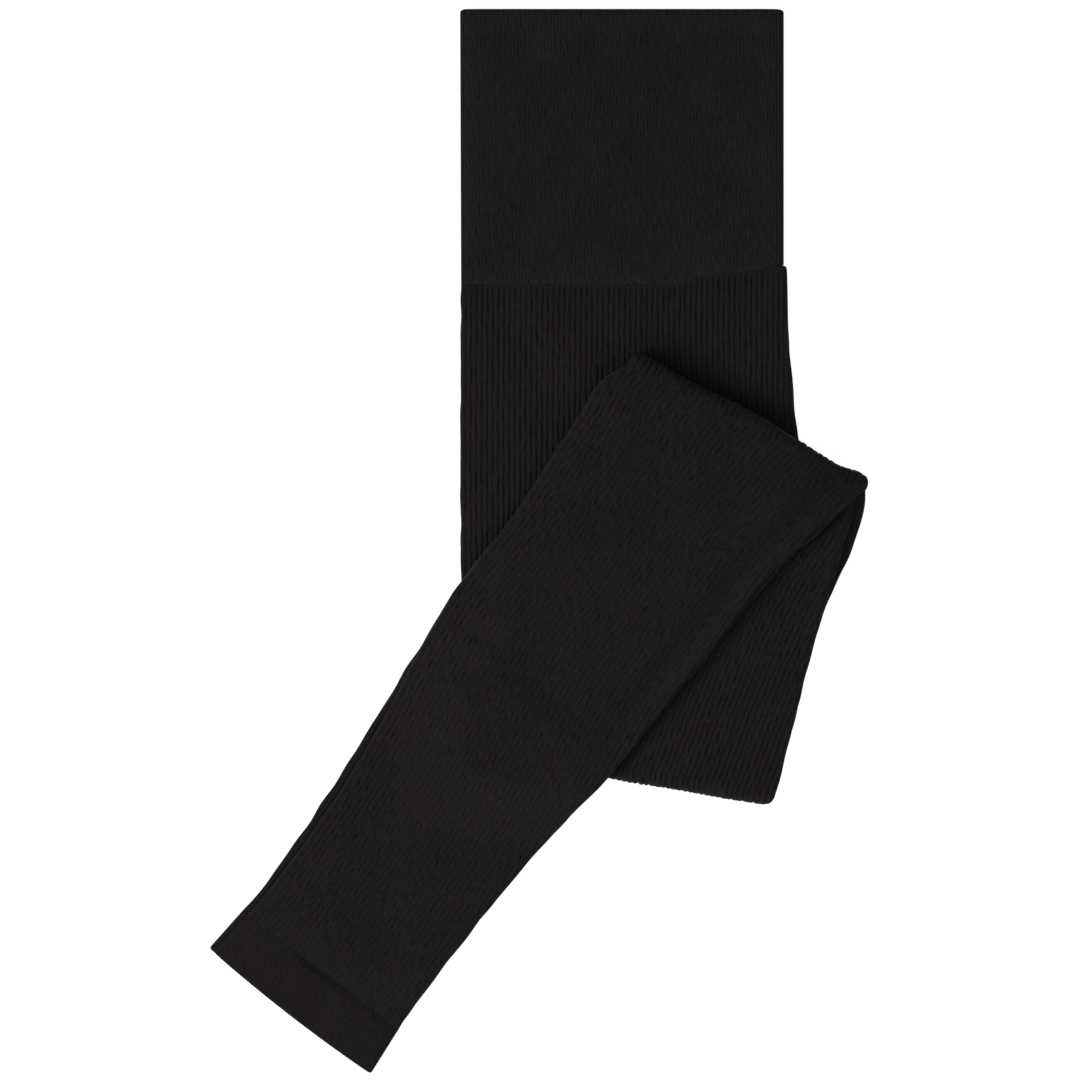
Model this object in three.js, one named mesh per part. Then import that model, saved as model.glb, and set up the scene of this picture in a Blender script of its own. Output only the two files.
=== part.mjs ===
// Ribbed leggings lying flat. They are folded in half lengthwise, left leg over right leg, and then
// in a Z: hips and thighs run down, the knees run back up, and the shins run down to the left.
// Millimetres, +Z up, underside at z = 0. X and Y are measured from the middle of the folded garment.
import * as THREE from "three";

// Cloth
const WALL = 1.4; // one knitted wall
const SLIT = 0.3; // between two walls of one tube
const LAYER = 2 * WALL + SLIT; // a leg pressed flat
const GAP = 0.35; // between layers that lie on each other
const SEAM = 0.3; // between pieces sewn together
const STEP = LAYER + GAP; // from one layer to the next
const RIB = 2.75; // pitch of the leg ribs
const RIB_DEPTH = 0.7;
const FINE_RIB = 1.65; // pitch of the waistband ribs
const FINE_RIB_DEPTH = 0.25;
const COLUMN = 10; // between points across a plain face
const RIB_MARGIN = 0.4; // least distance from a rib's point to the end of its row
const COLUMN_MARGIN = 1.5; // the same for a plain point
const EDGE_STEPS = 4; // in the rounding of an edge
const FOLD_STEPS = 6; // in a half turn of a fold

// Waistband
const BAND_LEFT = -39.25;
const BAND_RIGHT = 122;
const BAND_TOP = 265.7;
const SEAM_Y = 128.25; // where the waistband meets the legs, at the left edge
const BEND_STEPS = 6; // in a half turn of the waistband's cloth
// How far the waist seam rises towards the centre back, by distance from the left edge
const SEAM_RISE = [
  { across: 0, rise: 0 },
  { across: 108, rise: 0 },
  { across: 118, rise: 3.6 },
  { across: 134, rise: 5.5 },
  { across: 151, rise: 7.2 },
  { across: 154, rise: 9.6 },
  { across: 165, rise: 9.6 },
];

// Hem bands
const HEM_SLIT = 0.4;
const HEM_EDGE = 1.8; // from the edge of a hem band to the end of its slit
const HEM_BOW = { x: -1.9, y: -2.4 }; // how far the middle of the ankle's edge bows out

// The legs, as rows across them from the outer edge (left) to the inner edge (right), for the left
// leg. cut is the leg's own width there, which the ribs keep their pitch in. moreLeft and moreRight
// say how far the right leg reaches past the left one. ribsFrom and ribsTo bound the ribs that show.
// steps is the number of rows up to the next one. share is 1 where the centre seam joins the legs.
const BODY_ROWS = [
  { leftX: -39.25, leftY: 128.25, rightX: 123.9, rightY: 128.25, cut: 163.15, share: 1,
    moreLeft: 0, moreRight: 0, ribsFrom: 0, ribsTo: 190, steps: 1 },
  { leftX: -39.25, leftY: 92, rightX: 125.6, rightY: 92, cut: 164.85, share: 1,
    moreLeft: 0, moreRight: 0, ribsFrom: 0, ribsTo: 190, steps: 1 },
  { leftX: -39.25, leftY: 48, rightX: 130.2, rightY: 48, cut: 169.45, share: 1,
    moreLeft: 0, moreRight: 0, ribsFrom: 0, ribsTo: 190, steps: 2 },
  { leftX: -39.25, leftY: 10, rightX: 136.5, rightY: 10, cut: 175.75, share: 1,
    moreLeft: 0, moreRight: 0, ribsFrom: 0, ribsTo: 48, steps: 2 },
  { leftX: -38.75, leftY: -26, rightX: 142, rightY: -26, cut: 180.75, share: 1,
    moreLeft: 0, moreRight: 0, ribsFrom: 0, ribsTo: 0, steps: 2 },
  { leftX: -36, leftY: -62, rightX: 134.5, rightY: -62, cut: 170.5, share: 0,
    moreLeft: 0, moreRight: 0, ribsFrom: 0, ribsTo: 0, steps: 2 },
  { leftX: -29.75, leftY: -101.75, rightX: 118, rightY: -126.5, cut: 147.5, share: 0,
    moreLeft: 0, moreRight: 0, ribsFrom: 0, ribsTo: 0, steps: 0 },
];
const KNEE_ROWS = [
  { leftX: -29.75, leftY: -101.75, rightX: 118, rightY: -126.5, cut: 147.5, share: 0,
    moreLeft: 0, moreRight: 0, ribsFrom: 50, ribsTo: 190, steps: 2 },
  { leftX: -14.75, leftY: -63.5, rightX: 125.5, rightY: -94.9, cut: 143, share: 0,
    moreLeft: 0, moreRight: 0.6, ribsFrom: 60, ribsTo: 190, steps: 2 },
  { leftX: 0.25, leftY: -25.5, rightX: 133.3, rightY: -63.8, cut: 138.5, share: 0,
    moreLeft: 0, moreRight: 0.4, ribsFrom: 80, ribsTo: 190, steps: 2 },
  { leftX: 15.5, leftY: 12.5, rightX: 142.7, rightY: -33.7, cut: 134, share: 0,
    moreLeft: 0, moreRight: -0.5, ribsFrom: 95, ribsTo: 190, steps: 3 },
  { leftX: 30.5, leftY: 50.75, rightX: 156.2, rightY: -4.5, cut: 129, share: 0,
    moreLeft: 0, moreRight: -4.5, ribsFrom: 105, ribsTo: 190, steps: 2 },
  { leftX: 39.3, leftY: 75.2, rightX: 162.4, rightY: 15.3, cut: 126.2, share: 0,
    moreLeft: 0, moreRight: -5, ribsFrom: 108, ribsTo: 190, steps: 1 },
  { leftX: 43.5, leftY: 87.5, rightX: 162.5, rightY: 25.6, cut: 125, share: 0,
    moreLeft: 0, moreRight: -5, ribsFrom: 110, ribsTo: 190, steps: 0 },
];
const SHIN_ROWS = [
  { leftX: 43.5, leftY: 87.5, rightX: 162.5, rightY: 25.6, cut: 125, share: 0,
    moreLeft: 0, moreRight: -5, ribsFrom: 0, ribsTo: 190, steps: 1 },
  { leftX: 34.5, leftY: 81, rightX: 154.5, rightY: 19.5, cut: 124, share: 0,
    moreLeft: 0, moreRight: 2, ribsFrom: 0, ribsTo: 190, steps: 1 },
  { leftX: 22.75, leftY: 67.25, rightX: 139.25, rightY: 6.25, cut: 122, share: 0,
    moreLeft: 0, moreRight: 2.5, ribsFrom: 0, ribsTo: 190, steps: 2 },
  { leftX: 9.25, leftY: 46.75, rightX: 113.25, rightY: -18.75, cut: 119, share: 0,
    moreLeft: 0, moreRight: 2.5, ribsFrom: 0, ribsTo: 190, steps: 3 },
  { leftX: -13.25, leftY: 12.25, rightX: 84.75, rightY: -54.75, cut: 117, share: 0,
    moreLeft: 0, moreRight: 2, ribsFrom: 0, ribsTo: 190, steps: 3 },
  { leftX: -38.2, leftY: -19.1, rightX: 60.25, rightY: -85.25, cut: 115, share: 0,
    moreLeft: 0, moreRight: 1, ribsFrom: 0, ribsTo: 190, steps: 3 },
  { leftX: -59.7, leftY: -54, rightX: 36.25, rightY: -115.75, cut: 110, share: 0,
    moreLeft: 0.4, moreRight: 0, ribsFrom: 0, ribsTo: 190, steps: 4 },
  { leftX: -80.75, leftY: -93.75, rightX: 4.75, rightY: -149.15, cut: 100, share: 0,
    moreLeft: 3.7, moreRight: 0, ribsFrom: 0, ribsTo: 190, steps: 4 },
  { leftX: -106.75, leftY: -135.75, rightX: -27.55, rightY: -187.35, cut: 94, share: 0,
    moreLeft: 3.7, moreRight: 0, ribsFrom: 0, ribsTo: 190, steps: 1 },
  { leftX: -134.75, leftY: -174.25, rightX: -61.95, rightY: -232.05, cut: 93, share: 0,
    moreLeft: 3.7, moreRight: 0, ribsFrom: 0, ribsTo: 190, steps: 1 },
  { leftX: -145.5, leftY: -188, rightX: -70.6, rightY: -244.8, cut: 95, share: 0,
    moreLeft: 3, moreRight: 0, ribsFrom: 0, ribsTo: 190, steps: 0 },
];
// The hem band goes on from the last row of the shin
const HEM_ROWS = [
  SHIN_ROWS[SHIN_ROWS.length - 1],
  { leftX: -162.3, leftY: -206.6, rightX: -83.75, rightY: -265.75, cut: 97.5, share: 0,
    moreLeft: 1, moreRight: 0, ribsFrom: 0, ribsTo: 0, steps: 0 },
];

// Folds. sense is -1 where the face that was on top goes inside the fold, and 1 where it comes out.
const BOTTOM_FOLD = { axisZ: LAYER / 2 + 1.5 * STEP, sense: -1, outX: -0.157, outY: -0.988 };
const UPPER_FOLD = { axisZ: LAYER / 2 + 3.5 * STEP, sense: 1, outX: 0.46, outY: 0.888 };
const FOLD_CORNER = 2.5; // how far the crest of a fold draws in at its two ends
// The left leg lies inside the bottom fold and outside the upper one, and the right leg the reverse
const INSIDE = 0.5 * STEP;
const OUTSIDE = 1.5 * STEP;
const LEFT_LEG = { bottom: INSIDE, upper: OUTSIDE, more: 0 };
const RIGHT_LEG = { bottom: OUTSIDE, upper: INSIDE, more: 1 };

// Drape: layers past the edge of those below them come down by that many layers
const DRAPE_START = 6; // past the edge below
const DRAPE_LENGTH = 45;
const DRAPE_DROP = 2 * STEP;

// Colours
const LEG_COLOUR = 0x1d1a1c;
const BAND_COLOUR = 0x1c191c;
const HEM_COLOUR = 0x1c191b;

const mix = (a, b, t) => a + (b - a) * t;

// A smooth curve through values b and c, with a before them and d after them
function smooth(a, b, c, d, t) {
  const slope = (c - a) * t;
  const bend = (2 * a - 5 * b + 4 * c - d) * t * t;
  const twist = (3 * b - a - 3 * c + d) * t * t * t;
  return b + (slope + bend + twist) / 2;
}

// The rows of a table with the steps between them
function fillRows(table) {
  const rows = [];
  table.forEach((row, i) => {
    const before = table[Math.max(i - 1, 0)];
    const next = table[Math.min(i + 1, table.length - 1)];
    const after = table[Math.min(i + 2, table.length - 1)];
    for (let k = 0; k < Math.max(row.steps, 1); k += 1) {
      const t = row.steps ? k / row.steps : 0;
      const made = {};
      for (const name of Object.keys(row)) {
        made[name] = mix(row[name], next[name], t);
      }
      for (const name of ["leftX", "leftY", "rightX", "rightY"]) {
        made[name] = smooth(before[name], row[name], next[name], after[name], t);
      }
      rows.push(made);
    }
  });
  return rows;
}

// The rows of a fold, which turn from 0 to half a turn between two runs
function foldRows(row, fold) {
  const rows = [];
  for (let k = 1; k < FOLD_STEPS; k += 1) {
    rows.push({ ...row, fold, turn: (Math.PI * k) / FOLD_STEPS });
  }
  return rows;
}

const flat = (rows, fold, turn, run) => rows.map((row) => ({ ...row, fold, turn, run }));
const bodyRows = fillRows(BODY_ROWS);
const kneeRows = fillRows(KNEE_ROWS);
const shinRows = fillRows(SHIN_ROWS);
const LEG_ROWS = [
  ...flat(bodyRows, BOTTOM_FOLD, 0, "body"),
  ...foldRows(KNEE_ROWS[0], BOTTOM_FOLD).map((row) => ({ ...row, run: "knee" })),
  ...flat(kneeRows.slice(0, -1), BOTTOM_FOLD, Math.PI, "knee"),
  ...flat(kneeRows.slice(-1), UPPER_FOLD, 0, "knee"),
  ...foldRows(SHIN_ROWS[0], UPPER_FOLD).map((row) => ({ ...row, run: "shin" })),
  ...flat(shinRows, UPPER_FOLD, Math.PI, "shin"),
];

// Outlines from above of the runs that carry others, out to the crest of each fold
function footprint(rows, folds) {
  const points = [];
  const rim = LAYER / 2 + OUTSIDE;
  const shift = (row, fold) => ({
    ...row,
    leftX: row.leftX + fold.outX * rim,
    leftY: row.leftY + fold.outY * rim,
    rightX: row.rightX + fold.outX * rim,
    rightY: row.rightY + fold.outY * rim,
  });
  const all = [...rows];
  if (folds.first) all.unshift(shift(rows[0], folds.first));
  if (folds.last) all.push(shift(rows[rows.length - 1], folds.last));
  for (const row of all) points.push([row.leftX, row.leftY]);
  for (const row of all.reverse()) points.push([row.rightX, row.rightY]);
  return points;
}
const BODY_AREA = footprint(bodyRows, { last: BOTTOM_FOLD });
const KNEE_AREA = footprint(kneeRows, { first: BOTTOM_FOLD, last: UPPER_FOLD });

// How far a place lies outside an outline, or 0 inside it
function outside(area, x, y) {
  let inside = false;
  let nearest = Infinity;
  area.forEach(([ax, ay], i) => {
    const [bx, by] = area[(i + 1) % area.length];
    if (ay > y !== by > y && x < ax + ((bx - ax) * (y - ay)) / (by - ay)) inside = !inside;
    const square = (bx - ax) ** 2 + (by - ay) ** 2;
    const along = square ? ((x - ax) * (bx - ax) + (y - ay) * (by - ay)) / square : 0;
    const t = THREE.MathUtils.clamp(along, 0, 1);
    nearest = Math.min(nearest, Math.hypot(x - mix(ax, bx, t), y - mix(ay, by, t)));
  });
  return inside ? 0 : nearest;
}

const fall = (area, x, y) =>
  DRAPE_DROP * THREE.MathUtils.smoothstep(outside(area, x, y), DRAPE_START, DRAPE_START + DRAPE_LENGTH);

function drape(run, x, y) {
  if (run === "body") return 0;
  const pastBody = fall(BODY_AREA, x, y);
  return run === "knee" ? pastBody : pastBody + fall(KNEE_AREA, x, y);
}

const SEAM_CORNERS = SEAM_RISE.map((point) => point.across).filter((across) => across > 0);

// The waist seam's height at a distance from the left edge
function seamRise(across) {
  const last = SEAM_RISE.findIndex((point) => point.across >= across);
  if (last <= 0) return last ? SEAM_RISE[SEAM_RISE.length - 1].rise : 0;
  const a = SEAM_RISE[last - 1];
  const b = SEAM_RISE[last];
  return mix(a.rise, b.rise, (across - a.across) / (b.across - a.across));
}

// A point of a leg: across from its outer edge, and up from its middle towards the face that is
// on top at the hips
function legPoint(leg, row, across, up) {
  const share = across / row.cut;
  const radius = row.fold === BOTTOM_FOLD ? leg.bottom : leg.upper;
  const reach = radius + row.fold.sense * up;
  const out = reach * Math.sin(row.turn);
  let x = mix(row.leftX, row.rightX, share) + row.fold.outX * out;
  let y = mix(row.leftY, row.rightY, share) + row.fold.outY * out;
  if (row.seam) y += seamRise(across) - SEAM / 2;
  if (row.ankle) {
    const bow = 4 * Math.max(share * (1 - share), 0);
    x += HEM_BOW.x * bow;
    y += HEM_BOW.y * bow;
  }
  const z = row.fold.axisZ - reach * Math.cos(row.turn) - drape(row.run, x, y);
  return new THREE.Vector3(x, y, z);
}

// How far a rib's surface lies below its crest at a place across the cloth
const ribSink = (w, pitch, depth) => depth * Math.abs(1 - ((w / (pitch / 2)) % 2));

// Places across a face: ribs between ribFrom and ribTo, plain columns elsewhere
function columns(from, to, ribFrom, ribTo, corners = []) {
  const half = RIB / 2;
  const sinkAt = (w) => (w >= ribFrom && w <= ribTo ? ribSink(w, RIB, RIB_DEPTH) : 0);
  const places = corners.filter((w) => w > from && w < to);
  for (let k = Math.ceil((from + RIB_MARGIN) / half); k * half < to - RIB_MARGIN; k += 1) {
    const w = k * half;
    if (w >= ribFrom && w <= ribTo) places.push(w);
  }
  let w = Math.ceil((from + COLUMN_MARGIN) / COLUMN) * COLUMN;
  for (; w < to - COLUMN_MARGIN; w += COLUMN) {
    if (w < ribFrom || w > ribTo) places.push(w);
  }
  places.push(from, to);
  places.sort((a, b) => a - b);
  return places.map((place) => ({ w: place, sink: sinkAt(place) }));
}

// The half turn, or less where the centre seam shares it, that rounds an edge. Each point has in,
// the distance from the edge, and up, the height from the leg's middle.
function edgeRound(share) {
  const lower = -Math.asin((1 - share) / (1 + share));
  const middle = (-LAYER / 2) * share;
  const height = (LAYER / 2) * (1 + share);
  const depth = mix(LAYER / 2, LAYER, share);
  const points = [];
  for (let k = 0; k <= EDGE_STEPS; k += 1) {
    const angle = mix(Math.PI / 2, lower, k / EDGE_STEPS);
    points.push({ in: depth * (1 - Math.cos(angle)), up: middle + height * Math.sin(angle) });
  }
  return points;
}

// One row of a leg as its four sides: top, right edge, underside and left edge
function legRing(leg, row) {
  const corner = FOLD_CORNER * Math.sin(row.turn) ** 2;
  const from = corner - (leg.more ? row.moreLeft : 0);
  const to = row.cut - corner + (leg.more ? row.moreRight : 0);
  const flip = leg.more ? -1 : 1; // the right leg's half of the seam is its upper side
  const right = edgeRound(row.share).map((point) => ({ w: to - point.in, up: flip * point.up }));
  const left = edgeRound(0).map((point) => ({ w: from + point.in, up: -flip * point.up }));
  if (leg.more) {
    right.reverse();
    left.reverse();
  }
  const ribbed = { from: row.ribsFrom, to: row.ribsTo };
  const plain = { from: 1, to: 0 };
  const topRibs = !leg.more && row.run !== "knee" ? ribbed : plain;
  const underRibs = leg.more && row.run === "knee" ? ribbed : plain;
  const corners = row.seam ? SEAM_CORNERS : [];
  const top = columns(left[EDGE_STEPS].w, right[0].w, topRibs.from, topRibs.to, corners);
  const under = columns(left[0].w, right[EDGE_STEPS].w, underRibs.from, underRibs.to, corners);
  const at = (w, up) => legPoint(leg, row, w, up);
  return {
    top: top.map(({ w, sink }) => ({ w, point: at(w, LAYER / 2 - sink) })),
    right: right.slice(1, -1).map(({ w, up }) => ({ w, point: at(w, up) })),
    under: under.map(({ w, sink }) => ({ w, point: at(w, sink - LAYER / 2) })),
    left: left.slice(1, -1).reverse().map(({ w, up }) => ({ w, point: at(w, up) })),
  };
}

// Triangles between two lists of points in the same order
function zip(faces, a, b, turned) {
  let i = 0;
  let j = 0;
  while (i < a.length - 1 || j < b.length - 1) {
    const takeA = j === b.length - 1 || (i < a.length - 1 && a[i + 1].w <= b[j + 1].w);
    const face = takeA ? [a[i], a[i + 1], b[j]] : [a[i], b[j + 1], b[j]];
    if (takeA) i += 1;
    else j += 1;
    if (turned) face.reverse();
    faces.push(...face.map((corner) => corner.point));
  }
}

// Triangles between two lists of the same length
function band(faces, a, b, turned) {
  for (let i = 0; i < a.length - 1; i += 1) {
    const quad = [a[i], a[i + 1], b[i], a[i + 1], b[i + 1], b[i]];
    if (turned) quad.reverse();
    faces.push(...quad.map((corner) => corner.point));
  }
}

// The two edges of a ring with their end points on the top and underside
function ringEdges(ring) {
  return {
    right: [ring.top[ring.top.length - 1], ...ring.right, ring.under[ring.under.length - 1]],
    left: [ring.top[0], ...ring.left, ring.under[0]],
  };
}

function joinRings(faces, a, b, turned) {
  zip(faces, a.top, b.top, !turned);
  zip(faces, a.under, b.under, turned);
  const edgesA = ringEdges(a);
  const edgesB = ringEdges(b);
  band(faces, edgesA.right, edgesB.right, !turned);
  band(faces, edgesA.left, edgesB.left, turned);
}

// The whole of a ring's top, with both edges, as one list
const upperSide = (ring) => [...[...ring.left].reverse(), ...ring.top, ...ring.right];

function geometryOf(faces) {
  const geometry = new THREE.BufferGeometry().setFromPoints(faces);
  geometry.computeVertexNormals();
  return geometry;
}

function makeLeg(leg) {
  const rows = LEG_ROWS.map((row, i) => ({ ...row, seam: i === 0 }));
  const last = rows.length - 1;
  rows[last] = pulledBack(rows[last - 1], rows[last]);
  const rings = rows.map((row) => legRing(leg, row));
  const faces = [];
  for (let i = 0; i < last; i += 1) joinRings(faces, rings[i], rings[i + 1], false);
  zip(faces, upperSide(rings[0]), rings[0].under, false);
  zip(faces, upperSide(rings[last]), rings[last].under, true);
  return geometryOf(faces);
}

// A row moved back towards the one before it by half a seam
function pulledBack(before, row) {
  const made = { ...row };
  const length = Math.hypot(row.leftX - before.leftX, row.leftY - before.leftY);
  for (const name of ["leftX", "leftY", "rightX", "rightY"]) {
    made[name] = mix(row[name], before[name], SEAM / 2 / length);
  }
  return made;
}

// A hem band is a flattened tube, open at the ankle
function makeHem(leg) {
  const rows = flat(HEM_ROWS, UPPER_FOLD, Math.PI, "shin").map((row) => ({ ...row, ribsTo: -1 }));
  rows[0] = pulledBack(rows[1], rows[0]);
  rows[1].ankle = true;
  const outer = rows.map((row) => legRing(leg, row));
  const inner = rows.map((row) => {
    const from = (leg.more ? -row.moreLeft : 0) + HEM_EDGE;
    const to = row.cut + (leg.more ? row.moreRight : 0) - HEM_EDGE;
    const side = (up) =>
      columns(from, to, 1, 0).map(({ w }) => ({ w, point: legPoint(leg, row, w, up) }));
    return { top: side(HEM_SLIT / 2), right: [], under: side(-HEM_SLIT / 2), left: [] };
  });
  const faces = [];
  joinRings(faces, outer[0], outer[1], false);
  joinRings(faces, inner[0], inner[1], true);
  for (const end of [0, 1]) {
    const rim = ringEdges(outer[end]);
    const hole = inner[end];
    const middle = Math.floor(rim.left.length / 2);
    const topRim = [...rim.left.slice(0, middle + 1).reverse(), ...outer[end].top.slice(1, -1),
      ...rim.right.slice(0, middle + 1)];
    const underRim = [...rim.left.slice(middle), ...outer[end].under.slice(1, -1),
      ...rim.right.slice(middle).reverse()];
    zip(faces, topRim, hole.top, end === 1);
    zip(faces, underRim, hole.under, end === 0);
    const holeEnds = [[rim.left[middle], hole.top[0], hole.under[0]],
      [rim.right[middle], hole.under[hole.under.length - 1], hole.top[hole.top.length - 1]]];
    for (const corners of holeEnds) {
      if (end === 1) corners.reverse();
      faces.push(...corners.map((corner) => corner.point));
    }
  }
  return geometryOf(faces);
}

// The waistband's cloth in section: once round a flattened tube that is folded in half at the right.
// aside is the distance from the middle of the cloth, outwards if more than 0.
function bandSection(aside) {
  const points = [];
  const low = WALL / 2;
  const tube = WALL + SLIT; // between the middles of a tube's two walls
  const lowInner = low + tube;
  const highInner = lowInner + WALL + GAP;
  const high = highInner + tube;
  const middle = (low + high) / 2;
  const foldX = BAND_RIGHT - WALL / 2 - (high - low) / 2;
  const tubeX = BAND_LEFT + WALL / 2 + tube / 2;
  let stretch = 0; // w counts the stretches passed, so that both faces of the cloth match
  const bend = (x, z, radius, from, turn) => {
    for (let k = 0; k <= BEND_STEPS; k += 1) {
      const angle = from + (turn * k) / BEND_STEPS;
      const reach = radius + Math.sign(turn) * aside;
      const up = z + reach * Math.sin(angle);
      points.push({ x: x - reach * Math.cos(angle), z: up, w: stretch + k / BEND_STEPS });
    }
    stretch += 1;
  };
  const straight = (z, way, ribbed) => {
    const places = SEAM_CORNERS.map((across) => across + BAND_LEFT);
    const half = FINE_RIB / 2;
    for (let x = tubeX + half; ribbed && x < foldX - half; x += half) {
      places.push(x);
    }
    const inside = places.filter((x) => x > tubeX && x < foldX).sort((p, q) => way * (p - q));
    for (const x of inside) {
      const along = (x - tubeX) / (foldX - tubeX);
      const sink = ribbed ? ribSink(x - tubeX, FINE_RIB, FINE_RIB_DEPTH) : 0;
      points.push({ x, z: z - sink, w: stretch + (way > 0 ? along : 1 - along) });
    }
    stretch += 1;
  };
  straight(high + aside, 1, aside > 0);
  bend(foldX, middle, (high - low) / 2, Math.PI / 2, Math.PI);
  straight(low - aside, -1, false);
  bend(tubeX, low + tube / 2, tube / 2, -Math.PI / 2, Math.PI);
  straight(lowInner + aside, 1, false);
  bend(foldX, middle, (highInner - lowInner) / 2, -Math.PI / 2, -Math.PI);
  straight(highInner - aside, -1, false);
  bend(tubeX, highInner + tube / 2, tube / 2, -Math.PI / 2, Math.PI);
  points.push({ ...points[0], w: stretch });
  return points;
}

function makeBand() {
  const ring = (aside, bottom) =>
    bandSection(aside).map(({ x, z, w }) => {
      const y = bottom ? SEAM_Y + seamRise(x - BAND_LEFT) + SEAM / 2 : BAND_TOP;
      return { w, point: new THREE.Vector3(x, y, z) };
    });
  const outerTop = ring(WALL / 2, false);
  const outerBottom = ring(WALL / 2, true);
  const innerTop = ring(-WALL / 2, false);
  const innerBottom = ring(-WALL / 2, true);
  const faces = [];
  band(faces, outerTop, outerBottom, true);
  band(faces, innerTop, innerBottom, false);
  zip(faces, outerTop, innerTop, false);
  zip(faces, outerBottom, innerBottom, true);
  return geometryOf(faces);
}

function piece(name, geometry, colour, roughness) {
  const material = new THREE.MeshStandardMaterial({ color: colour, roughness, metalness: 0 });
  const mesh = new THREE.Mesh(geometry, material);
  mesh.name = name;
  return mesh;
}

const leggings = new THREE.Group();
leggings.add(
  piece("waistband", makeBand(), BAND_COLOUR, 0.9),
  piece("leg_left", makeLeg(LEFT_LEG), LEG_COLOUR, 0.92),
  piece("leg_right", makeLeg(RIGHT_LEG), LEG_COLOUR, 0.92),
  piece("hem_left", makeHem(LEFT_LEG), HEM_COLOUR, 0.9),
  piece("hem_right", makeHem(RIGHT_LEG), HEM_COLOUR, 0.9),
);

export default leggings;
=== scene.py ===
"""Black ribbed leggings, folded lengthwise and then in a Z, lying flat on a pale floor.

The garment is laid out as in the part: each leg is one flattened tube that runs down over the hips
and thighs, back up over the knees, and down to the left over the shins. Here the cloth gets its
real walls, rounded ribs, stitches, seams and soft creases. Sizes are in millimetres until a mesh
is made. A sink is how far a point lies below the cloth's smooth face. Part of it, the hollow, is
also painted on the cloth's colour as painted shade, and below 0 as a painted highlight on a ridge.
"""
import math

import bpy
import numpy as np
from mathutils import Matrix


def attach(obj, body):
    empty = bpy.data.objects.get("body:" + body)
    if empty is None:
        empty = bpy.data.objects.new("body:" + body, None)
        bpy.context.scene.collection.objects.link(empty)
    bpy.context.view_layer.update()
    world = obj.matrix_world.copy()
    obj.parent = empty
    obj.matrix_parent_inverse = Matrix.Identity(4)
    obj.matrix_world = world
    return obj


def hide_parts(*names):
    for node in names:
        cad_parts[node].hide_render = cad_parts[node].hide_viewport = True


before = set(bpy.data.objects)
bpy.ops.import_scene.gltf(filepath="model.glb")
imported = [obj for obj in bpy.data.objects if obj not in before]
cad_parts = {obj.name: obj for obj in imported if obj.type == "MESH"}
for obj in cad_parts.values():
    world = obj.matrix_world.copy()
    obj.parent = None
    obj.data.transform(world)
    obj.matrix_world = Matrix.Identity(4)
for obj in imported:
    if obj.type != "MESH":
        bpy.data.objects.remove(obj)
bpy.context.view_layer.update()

MM = 0.001

# Cloth
WALL = 1.4
SLIT = 0.3  # between two walls of one tube
LAYER = 2 * WALL + SLIT
GAP = 0.35  # between layers that lie on each other
STEP = LAYER + GAP
RIB = 2.75  # pitch of the leg ribs
FINE_RIB = 1.65  # pitch of the waistband ribs
RIB_ROUND = 0.6  # 1 is an evenly round rib; less makes its valley narrower
COURSE = 1.25  # from one stitch to the next along a rib
INNER_EDGE = 1.6  # from a leg's edge to the end of the hollow inside it
DEEPEST = 1.25  # a rib or crease never cuts deeper than this into a wall
PROUDEST = 0.7  # and a ridge never stands higher

# Looks of each run: depth of its ribs, how much that depth changes, how uneven the cloth is
# beside them, and how crinkled its yarn looks
RUNS = {
    "body": {"rib": 0.62, "change": 0.5, "pucker": 0.05, "crinkle": 0.55},
    "knee": {"rib": 0.6, "change": 0.95, "pucker": 0.10, "crinkle": 0.9},
    "shin": {"rib": 0.36, "change": 1.3, "pucker": 0.12, "crinkle": 1.0},
}
BAND = {"rib": 0.26, "change": 1.1, "pucker": 0.09, "crinkle": 1.0}
HEM = {"pucker": 0.16, "crinkle": 0.85}
MOST_CHANGE = 2.2  # a rib is never deeper than this many times its usual depth
RIB_START = 1.6  # ribs reach their depth over this length
EDGE_RIBS = {"more": 0.6, "width": 16.0}  # deeper on the shin beside its left edge
FOLD_RIBS = {"more": 0.5, "width": 28.0}  # and beside the upper fold
ANKLE_RIBS = {"less": 0.6, "length": 35.0}  # and fainter towards the ankle
SWAY = 0.24  # a rib sways aside by about this much
BAND_SWAY = 0.2
SWELL = 0.2  # slow rise and fall of the cloth; it is also painted on the colour, as painted shade where it sinks and lighter where it rises
HEM_SWELL = 0.15
EDGE_WAVER = 0.3  # a leg's edges waver by about this much
EDGE_CALM = 10.0  # but run straight this close to its two ends
SOFT_EDGE = 6.0  # a pressed edge falls away over this width
SOFT_EDGE_DROP = 0.55

# Fineness of the meshes
DRAFT = 1.0
BODY_ROW = 2.5 * DRAFT
KNEE_ROW = 2.5 * DRAFT
SHIN_ROW = 1.7 * DRAFT
HEM_ROW = 1.5
BAND_ROW = 2.6 * DRAFT
COLUMN = 10.0
FOLD_STEPS = 14
EDGE_STEPS = 6
BEND_STEPS = 10
BAND_STRETCHES = 8  # straights and bends once round the waistband
RIB_PLACES = (0.0, 0.13, 0.3, 0.5, 0.7, 0.87)  # across one rib, from valley to valley
RIB_MARGIN = 0.35  # least distance from a rib's point to the end of its row
COARSE_ROW = 18  # for outlines that only guide the drape
SMOOTH_ANGLE = 70  # faces that meet at less than this many degrees are shaded smooth

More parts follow.
